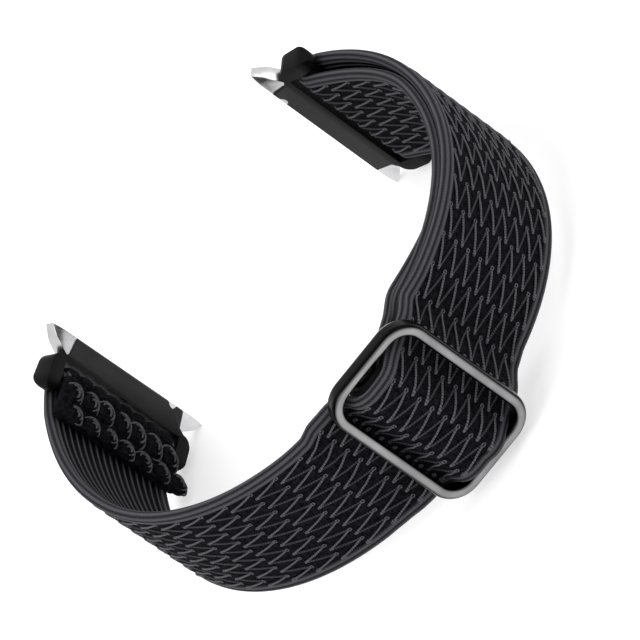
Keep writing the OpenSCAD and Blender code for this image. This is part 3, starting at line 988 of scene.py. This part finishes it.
    def build(self, name: str, start: float, end: float,
              no_rows: tuple[float, float] = (0, 0), plain: bool = False) -> Piece:
        """Weaves a stretch of strap and lays it along the route.

        Args:
            name: name of the piece.
            start: distance along the route where it begins.
            end: where it ends.
            no_rows: the stretch that has no zigzag rows.
            plain: whether it is dark cloth all round, as a sewn tail is.

        Returns:
            The piece.
        """
        bm = bmesh.new()
        self.add_base(bm, start, end)
        for face in bm.faces:
            side = Cloth.GROUND if face.normal.z > 0 else Cloth.RIBS
            on_cord = abs(face.calc_center_median().y) > self.face_half
            face.material_index = Cloth.GROUND if plain else Cloth.CORD if on_cord else side
        row, at = self.row(), 0.0
        for number in range(math.ceil(start / self.row_pitch - 0.5), math.ceil(end / self.row_pitch - 0.5)):
            place = number * self.row_pitch
            if not no_rows[0] <= place + self.row_pitch / 2 < no_rows[1]:
                row.transform(Matrix.Translation((place - at, 0, 0)))
                bm.from_mesh(row)
                at = place
        bpy.data.meshes.remove(row)
        finishes = self.finishes
        made = to_object(bm, name, (finishes.ground, finishes.selvedge, finishes.ribs, finishes.yarn,
                                    finishes.shaded_low_yarn), self.smooth_angle)
        lay_on_route(made, self.route)
        return made


@dataclass(frozen=True)
class Spread:
    """A stretch of the route where the soft strap is wider and moved sideways, in millimetres."""

    mark: str
    past_mark: float
    reach: float
    share: float
    shift: float
    slope: float = 2.5

    def widen(self, flat: np.ndarray, marks: dict[str, float]) -> None:
        """Widens the points of flat webbing that lie in the stretch.

        Args:
            flat: rows of distance along the route, place across and height, which are changed.
            marks: the route's marks.
        """
        off = np.abs(flat[:, 0] - (marks[self.mark] + self.past_mark))
        near = np.clip(self.slope * (1 - off / self.reach), 0, 1)
        flat[:, 1] += near * (self.share * flat[:, 1] + self.shift)


SPREADS = (
    # between the slider's rails, and at the right and the left rail
    Spread("crest", 0, 13, 0.03, -0.25),
    Spread("crest", 8, 7, 0.05, -0.2),
    Spread("left_flank", -0.5, 4, 0.04, 0.2),
    # the strap and its sewn tail near the lower lug
    Spread("lower_fold", 17, 14, 0.1, -0.4),
    Spread("lower_fold", -10.3, 10, 0.1, -0.4),
)


def lay_on_route(piece: Piece, route: Route) -> None:
    """Keeps a flat piece's own coordinates as an attribute and lays it along the route.

    Args:
        piece: the flat piece, in millimetres.
        route: the strap's route.
    """
    mesh = piece.data
    flat = np.zeros(len(mesh.vertices) * 3, np.float32)
    mesh.vertices.foreach_get("co", flat)
    keep = mesh.attributes.new("flat", "FLOAT_VECTOR", "POINT")
    keep.data.foreach_set("vector", flat)
    points = flat.reshape(-1, 3).astype(float)
    for spread in SPREADS:
        spread.widen(points, route.marks)
    mesh.vertices.foreach_set("co", route.lay(points).astype(np.float32).ravel())
    mesh.update()


@dataclass
class Strap:
    """The one strap of the band, cut where a joint or the slider crosses it."""

    finishes: Finishes
    path: BandPath
    bare_fold: float = 3.4
    tail_cord: float = 0.02
    tail_cut: float = 0.7
    give_left: float = 8
    give_right: float = 10
    extra_flex: float = 5
    # length of the painted shade on the cords inside the slider
    painted_shade_len: float = 5
    bare_before_bar: float = 2
    bar_tail_narrower: float = 0.1

    def __post_init__(self) -> None:
        """Takes the route, weaves the webbing and works out where the strap is cut."""
        self.route = self.path.route
        self.webbing = Webbing(self.finishes, self.route)
        marks = self.route.marks
        self.left_cut = marks["left_pass"] - self.give_left
        self.right_cut = marks["outer_run"] + self.give_right
        self.inner_cut = marks["bar_flank"] - self.give_right

    def build(self) -> list[Piece]:
        """Builds the strap's pieces; of these, only the sewn tail at the lower lug is tied to a body.

        Returns:
            The pieces.
        """
        pieces = self.lower_side()
        left, right = self.over_bar()
        pieces += [left, right, self.upper_side()]
        sewn = self.sewn_to_bar()
        for piece in [right] + sewn:
            self.rail_mark()
            self.route.spot(self.right_cut)
            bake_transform(piece)
        pieces += sewn
        return pieces

    def lower_side(self) -> list[Piece]:
        """The lower arm with its fold at the lower lug, and the tail that is sewn to it.

        Returns:
            The two pieces.
        """
        route, marks = self.route, self.route.marks
        fold = marks["lower_fold"]
        lower = self.webbing.build("lower_strap", fold, self.left_cut, (0, fold + self.bare_fold))
        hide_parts("lower_fold", "lower_end", "lower_flex", "lower_run")
        flex_far = marks["left_pass"] - self.path.lower_flex_at
        flex_near = flex_far - self.path.flex_len
        route.spot(flex_near - self.extra_flex)
        route.spot(flex_far + self.extra_flex)
        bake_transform(lower)
        tail = replace(self.webbing, cord_depth=self.tail_cord).build(
            "sewn_tail", self.tail_cut, fold, (0, fold), plain=True)
        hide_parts("lower_tail")
        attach(tail, "lower_arm")
        return [lower, tail]

    def over_bar(self) -> list[Piece]:
        """The strap's way under the slider's rails and over its cross bar.

        Returns:
            The pieces left and right of the bar's crest.
        """
        route, marks = self.route, self.route.marks
        left = self.webbing.build("strap_left_of_slider", self.left_cut, marks["crest"])
        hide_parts("slider_pass")
        route.spot(self.left_cut)
        route.spot(marks["left_flank"])
        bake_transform(left)
        return [left, self.webbing.build("strap_right_of_slider", marks["crest"], self.right_cut)]

    def upper_side(self) -> Piece:
        """The upper arm: through the upper lug and back inside itself.

        Returns:
            The piece.
        """
        route, marks = self.route, self.route.marks
        upper = self.webbing.build("upper_strap", self.right_cut, self.inner_cut)
        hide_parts("outer_run", "inner_run", "upper_outer_flex", "upper_inner_flex",
                    "upper_outer_end", "upper_inner_end", "upper_fold")
        route.spot(marks["upper_flex"] - self.extra_flex)
        route.spot(marks["upper_flex"] + self.path.flex_len + self.extra_flex)
        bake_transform(upper)
        return upper

    def sewn_to_bar(self) -> list[Piece]:
        """The end that turns round the cross bar, and its tail. Their cords get painted shade inside the
        slider.

        Returns:
            The two pieces.
        """
        marks = self.route.marks
        loop = self.shaded(self.webbing, "loop_cord", marks["bar_flank"], self.painted_shade_len).build(
            "sewn_bar_loop", self.inner_cut, marks["bar_tail"],
            (marks["bar_flank"] - self.bare_before_bar, marks["end"]))
        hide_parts("bar_loop")
        narrow = replace(self.webbing, width=self.webbing.width - self.bar_tail_narrower)
        tail = self.shaded(narrow, "tail_cord", marks["bar_tail"] + self.painted_shade_len, -self.painted_shade_len).build(
            "sewn_bar_tail", marks["bar_tail"], marks["end"], (marks["bar_tail"], marks["end"]))
        return [loop, tail]

    def shaded(self, webbing: Webbing, name: str, start: float, length: float) -> Webbing:
        """Webbing whose selvedge cords get painted shade along the route.

        Args:
            webbing: what it is made from.
            name: name of the cords' material.
            start: distance along the route where they begin to darken.
            length: over how much they do, negative where they get lighter.

        Returns:
            The webbing.
        """
        cord = cord_finish(name, (start, start + length)).make()
        return replace(webbing, finishes=replace(self.finishes, selvedge=cord))

    def rail_mark(self) -> Vector:
        """The point under the slider's right rail, in metres."""
        under = self.path.under_right()
        return Vector((under.x + self.route.offset.x, under.y + self.route.offset.y, self.path.middle)) * MM


@dataclass(frozen=True)
class LoopRow:
    """One row of looped lumps across the sewn end, in millimetres."""

    place: float
    size: float
    first: float
    pitch: float
    count: int = 7
    loops: int = 3


@dataclass
class SewnEnd:
    """The sewn end at the lower lug: rows of cloth lumps under nested loops of yarn, in millimetres."""

    finishes: Finishes
    path: BandPath
    # The third row, by the lug's plate, is of bare dark lumps with no loops, put where the plate's shadow
    # falls: painted shadow.
    rows: tuple[LoopRow, ...] = (LoopRow(-1.7, 1.35, -7.5, 2.48), LoopRow(-4.2, 1.25, -8.9, 2.6),
                                 LoopRow(1.0, 1.3, -7.5, 2.15, 8, 0))
    base: float = 0.35
    lump_sink: float = 0.1
    lump_share: float = 0.95
    rise: float = 0.6
    scatter_along: float = 0.15
    scatter_across: float = 0.12
    loop_along: float = -0.1
    loop_across: float = 0.12
    yarn_r: float = 0.135
    yarn_stand: float = 0.6
    yarn_flatness: float = 0.85
    yarn_taper: float = 0.45
    first_loop: float = 0.3
    loop_step: float = 0.37
    wobble: float = 0.07
    open_way: float = -57
    way_spread: float = 22
    least_half: float = 78
    most_half: float = 112
    steps: int = 12

    def lump(self, bm: BMesh, x: float, y: float, size: float) -> None:
        """Adds one lump, as a low dome.

        Args:
            bm: flat mesh that takes it.
            x: its place along the route.
            y: its place across the strap.
            size: its radius.
        """
        spread = Matrix.Diagonal((self.lump_share, self.lump_share, self.rise, 1))
        shape = Matrix.Translation((x, y, self.base - self.lump_sink)) @ spread
        made = bmesh.ops.create_icosphere(bm, subdivisions=3, radius=size, matrix=shape)
        for face in {face for vert in made["verts"] for face in vert.link_faces}:
            face.material_index = Seam.LUMP

    def loop(self, bm: BMesh, x: float, y: float, size: float, share: float) -> None:
        """Adds one loop of yarn that lies on a lump.

        Args:
            bm: flat mesh that takes it.
            x: place of the lump along the route.
            y: its place across the strap.
            size: radius of the lump.
            share: radius of the loop as a share of the lump's.
        """
        way = math.radians(self.open_way + random.uniform(-self.way_spread, self.way_spread))
        half = math.radians(random.uniform(self.least_half, self.most_half))
        points = []
        for k in range(self.steps + 1):
            a = way + half * (2 * k / self.steps - 1)
            reach = size * share * (1 + self.wobble * math.sin(3 * a + share * 9))
            dome = self.rise * size * math.sqrt(max(1 - share * share, 0.05))
            lift = dome + self.yarn_r * self.yarn_stand
            points.append(Vector((x + reach * math.cos(a), y + reach * math.sin(a), self.base + lift)))
        yarn_tube(bm, points, self.yarn_r, 6, self.yarn_flatness, self.yarn_taper)

    def build(self) -> list[Piece]:
        """Builds the rows and lays them on the sewn tail and the fold.

        Returns:
            The one piece that they make.
        """
        route = self.path.route
        bm = bmesh.new()
        for row in self.rows:
            for i in range(row.count):
                x = (route.marks["lower_fold"] + row.place
                     + random.uniform(-self.scatter_along, self.scatter_along))
                y = row.first + row.pitch * i + random.uniform(-self.scatter_across, self.scatter_across)
                self.lump(bm, x, y, row.size)
                for k in range(row.loops):
                    self.loop(bm, x + self.loop_along, y + self.loop_across, row.size,
                              self.first_loop + self.loop_step * k)
        made = to_object(bm, "bunched_seam", (self.finishes.seam, self.finishes.ground))
        lay_on_route(made, route)
        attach(made, "lower_arm")
        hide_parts("lower_stitching")
        return [made]


@dataclass
class RigidPiece:
    """A rigid piece of metal, shaped as the frame has it, with its sharp edges broken."""

    node: str
    name: str
    body: str
    slot: Slot
    material: Material
    edge: float = 0.12
    segments: int = 3
    sharp: float = 28
    flat_angle: float = 0.6
    smooth_angle: float = 35
    merge_gap: float = 2e-6
    face_way: Vector | None = None
    shaded_caps_from: float = 99
    caps_shade_share: float = 0.5
    back_highlight_gain: float = 1.0

    def build(self) -> Piece:
        """Builds the piece.

        Returns:
            The new piece, which stands for its node.
        """
        bm = bmesh.new()
        bm.from_mesh(frame["nodes"][self.node].data)
        tidy_mesh(bm, self.merge_gap)
        bmesh.ops.dissolve_limit(bm, angle_limit=math.radians(self.flat_angle), verts=bm.verts,
                                 edges=bm.edges)
        sharp = math.radians(self.sharp)
        edges = [e for e in bm.edges if len(e.link_faces) == 2 and e.calc_face_angle(0) > sharp]
        bmesh.ops.bevel(bm, geom=edges, offset=self.edge * MM, offset_type="OFFSET", segments=self.segments,
                        profile=0.5, affect="EDGES", clamp_overlap=True, material=-1)
        bmesh.ops.recalc_face_normals(bm, faces=bm.faces)
        made = to_object(bm, self.name, (self.material,), self.smooth_angle)
        if self.face_way:
            self.keep_facing(made.data)
        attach(made, self.body)
        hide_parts(self.node)
        return made

    def keep_facing(self, mesh: bpy.types.Mesh) -> None:
        """Keeps how far each point of the surface looks the way of the piece's faces, as an attribute that
        places painted shade on walls and end caps and a painted highlight on back faces.

        Args:
            mesh: the piece's mesh.
        """
        keep = mesh.attributes.new("painted_shade_facing", "FLOAT", "POINT")
        values = []
        for vert in mesh.vertices:
            share = vert.normal.dot(self.face_way)
            # painted highlight: faces that look the other way, as the slider's back rim, get the bright face
            # colour, scaled by the gain
            share = share if share > 0 else min(1.0, -share * self.back_highlight_gain)
            # painted shade on the lugs' end caps: beyond this height the facing value is scaled down
            in_cap_shade = abs(vert.co.z / MM - BandPath.middle) > self.shaded_caps_from
            values.append(share * self.caps_shade_share if in_cap_shade else share)
        keep.data.foreach_set("value", values)


@dataclass
class Hardware:
    """The metal pieces: slider, lugs, detents, in millimetres."""

    finishes: Finishes
    path: BandPath
    ring_edge: float = 0.1
    ring_sharp: float = 40
    ring_back_highlight_gain: float = 8
    plate_edge: float = 0.14
    plate_unshaded_half: float = 9.15
    bar_edge: float = 0.08

    def build(self) -> list[Piece]:
        """Builds the metal pieces and dresses the small ones that stay as they are.

        Returns:
            The pieces and the dressed nodes.
        """
        f = self.finishes
        tilt = math.radians(self.path.slider_heading)
        outwards = Vector((math.sin(tilt), -math.cos(tilt), 0))
        pieces = [
            # the slider's walls take painted shade from the facing mask, and its back rim a painted highlight
            RigidPiece("slider_frame", "slider_ring", "slider", Slot.GUNMETAL, f.ring, self.ring_edge,
                       sharp=self.ring_sharp, face_way=outwards, back_highlight_gain=self.ring_back_highlight_gain).build(),
            RigidPiece("slider_cross_bar", "slider_bar", "slider", Slot.GUNMETAL, f.ring, self.ring_edge,
                       face_way=outwards).build()]
        for side in ("upper", "lower"):
            body = f"{side}_lug"
            press = packed_joint(f"{side}_detent_press")
            through = Vector(press["axis"]).cross(Vector((0, 0, 1)))
            pieces += [
                # the lug plates take painted shade on their walls and end caps from the facing mask
                RigidPiece(f"{side}_lug_frame", f"{side}_lug_plate", body, Slot.BLACK, f.coating,
                           self.plate_edge, face_way=through, shaded_caps_from=self.plate_unshaded_half).build(),
                RigidPiece(f"{side}_lug_bar", f"{side}_slide_bar", body, Slot.BAR, f.steel,
                           self.bar_edge).build(),
                self.dress(f"{side}_detent_pin", f.steel),
                self.coil(side)]
        return pieces + [self.dress("bar_stitching", f.yarn)]

    def coil(self, side: str) -> Piece:
        """Builds a detent spring from its node.

        Args:
            side: the lug that holds it.

        Returns:
            The spring.
        """
        bm = bmesh.new()
        bm.from_mesh(frame["nodes"][f"{side}_detent_spring"].data)
        tidy_mesh(bm)
        made = to_object(bm, f"{side}_coil", (self.finishes.wire,))
        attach(made, f"{side}_lug")
        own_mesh(made)
        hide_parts(f"{side}_detent_spring")
        return made

    def dress(self, node: str, material: Material) -> Piece:
        """Gives a node that stays its material.

        Args:
            node: the node's name.
            material: what it gets.

        Returns:
            The node's object.
        """
        kept = frame["nodes"][node]
        kept.data.materials.clear()
        kept.data.materials.append(material)
        return kept


@dataclass(frozen=True)
class Lamp:
    """A soft lamp that faces the band: place and panel width in metres, power in watts."""

    name: str
    place: Triple
    power: float
    size: float


@dataclass
class Studio:
    """Plain white studio: floor, soft lamps and the camera of the photograph."""

    path: BandPath
    target_x: float = 3.81
    target_y: float = 25.72
    elevation: float = 33.4
    roll: float = 54.82
    distance: float = 850
    pixels_per_mm: float = 8.96
    image_px: int = 640
    sensor: float = 36
    floor_size: float = 3000
    floor_color: Triple = (0.85, 0.85, 0.85)
    floor_roughness: float = 0.9
    floor_gloss: float = 0.1
    floor_glow: float = 0.45
    world_light: float = 0.55
    lamps: tuple[Lamp, ...] = (Lamp("key", (-0.30, -0.28, 0.45), 1.2, 0.3),
                               Lamp("fill", (0.40, -0.15, 0.30), 0.5, 0.4),
                               Lamp("top", (0.0, 0.15, 0.5), 0.8, 0.5))

    def camera(self) -> None:
        """Adds the camera at the photograph's viewing angle."""
        route = self.path.route
        target = Vector((self.target_x + route.offset.x, self.target_y + route.offset.y, self.path.middle))
        tilt = math.radians(self.elevation)
        back_way = Vector((0, -math.cos(tilt), math.sin(tilt)))
        data = bpy.data.cameras.new("camera")
        data.sensor_width = self.sensor
        data.lens = self.pixels_per_mm * self.distance / self.image_px * self.sensor
        data.clip_start, data.clip_end = 0.01, 100
        made = bpy.data.objects.new("camera", data)
        upright = Matrix.Rotation(math.pi / 2 - tilt, 4, "X")
        roll = Matrix.Rotation(math.radians(-self.roll), 4, "Z")
        made.matrix_world = Matrix.Translation((target + back_way * self.distance) * MM) @ upright @ roll
        bpy.context.scene.collection.objects.link(made)
        bpy.context.scene.camera = made

    def hang(self, lamp: Lamp) -> None:
        """Adds a lamp.

        Args:
            lamp: what is added.
        """
        data = bpy.data.lights.new(lamp.name, "AREA")
        data.energy, data.size = lamp.power, lamp.size
        made = bpy.data.objects.new(lamp.name, data)
        made.location = lamp.place
        aim = Vector((0, 0, self.path.middle * MM)) - Vector(lamp.place)
        made.rotation_euler = aim.to_track_quat("-Z", "Y").to_euler()
        bpy.context.scene.collection.objects.link(made)

    def seen_white(self, tree: bpy.types.NodeTree) -> Socket:
        """One for camera, mirror and glass rays, and zero for the rest.

        Args:
            tree: the node tree that takes the nodes.

        Returns:
            The value.
        """
        path = tree.nodes.new("ShaderNodeLightPath")
        total = path.outputs["Is Camera Ray"]
        for name in ("Is Glossy Ray", "Is Transmission Ray"):
            add = tree.nodes.new("ShaderNodeMath")
            add.operation, add.use_clamp = "ADD", True
            tree.links.new(total, add.inputs[0])
            tree.links.new(path.outputs[name], add.inputs[1])
            total = add.outputs[0]
        return total

    def world(self) -> None:
        """Sets a world that lights softly and shows white."""
        made = bpy.data.worlds.new("studio")
        bpy.context.scene.world = made
        made.use_nodes = True
        tree = made.node_tree
        shader = tree.nodes["Background"]
        shader.inputs["Color"].default_value = (1, 1, 1, 1)
        level = tree.nodes.new("ShaderNodeMapRange")
        level.inputs["To Min"].default_value = self.world_light
        level.inputs["To Max"].default_value = 1.0
        tree.links.new(self.seen_white(tree), level.inputs["Value"])
        tree.links.new(level.outputs[0], shader.inputs["Strength"])

    def floor(self) -> None:
        """Adds the pale floor, which shows white and keeps a soft shadow."""
        bm = bmesh.new()
        bmesh.ops.create_grid(bm, x_segments=1, y_segments=1, size=self.floor_size / 2 * MM)
        material = bpy.data.materials.new("pale_floor")
        material.use_nodes = True
        tree = material.node_tree
        shader = tree.nodes["Principled BSDF"]
        shader.inputs["Base Color"].default_value = (*self.floor_color, 1)
        shader.inputs["Roughness"].default_value = self.floor_roughness
        shader.inputs["Specular IOR Level"].default_value = self.floor_gloss
        shader.inputs["Emission Color"].default_value = (1, 1, 1, 1)
        lift = tree.nodes.new("ShaderNodeMath")
        lift.operation = "MULTIPLY"
        lift.inputs[1].default_value = self.floor_glow
        tree.links.new(self.seen_white(tree), lift.inputs[0])
        tree.links.new(lift.outputs[0], shader.inputs["Emission Strength"])
        to_object(bm, "floor", (material,))

    def build(self) -> None:
        """Sets up camera, light and floor."""
        self.camera()
        self.world()
        for lamp in self.lamps:
            self.hang(lamp)
        self.floor()
        bpy.context.scene.view_settings.view_transform = "Standard"


def main() -> None:
    """Builds the studio, the strap, its seam and the metal pieces, and reports each piece."""
    logging.basicConfig(level=logging.INFO, format="%(name)s %(message)s")
    random.seed(SCATTER_SEED)
    path = BandPath()
    path.build()
    finishes = Finishes()
    Studio(path).build()
    for part in (Strap(finishes, path), SewnEnd(finishes, path), Hardware(finishes, path)):
        for piece in part.build():
            LOG.info("%s: %d faces", piece.name, len(piece.data.polygons))


if __name__ == "__main__":
    main()
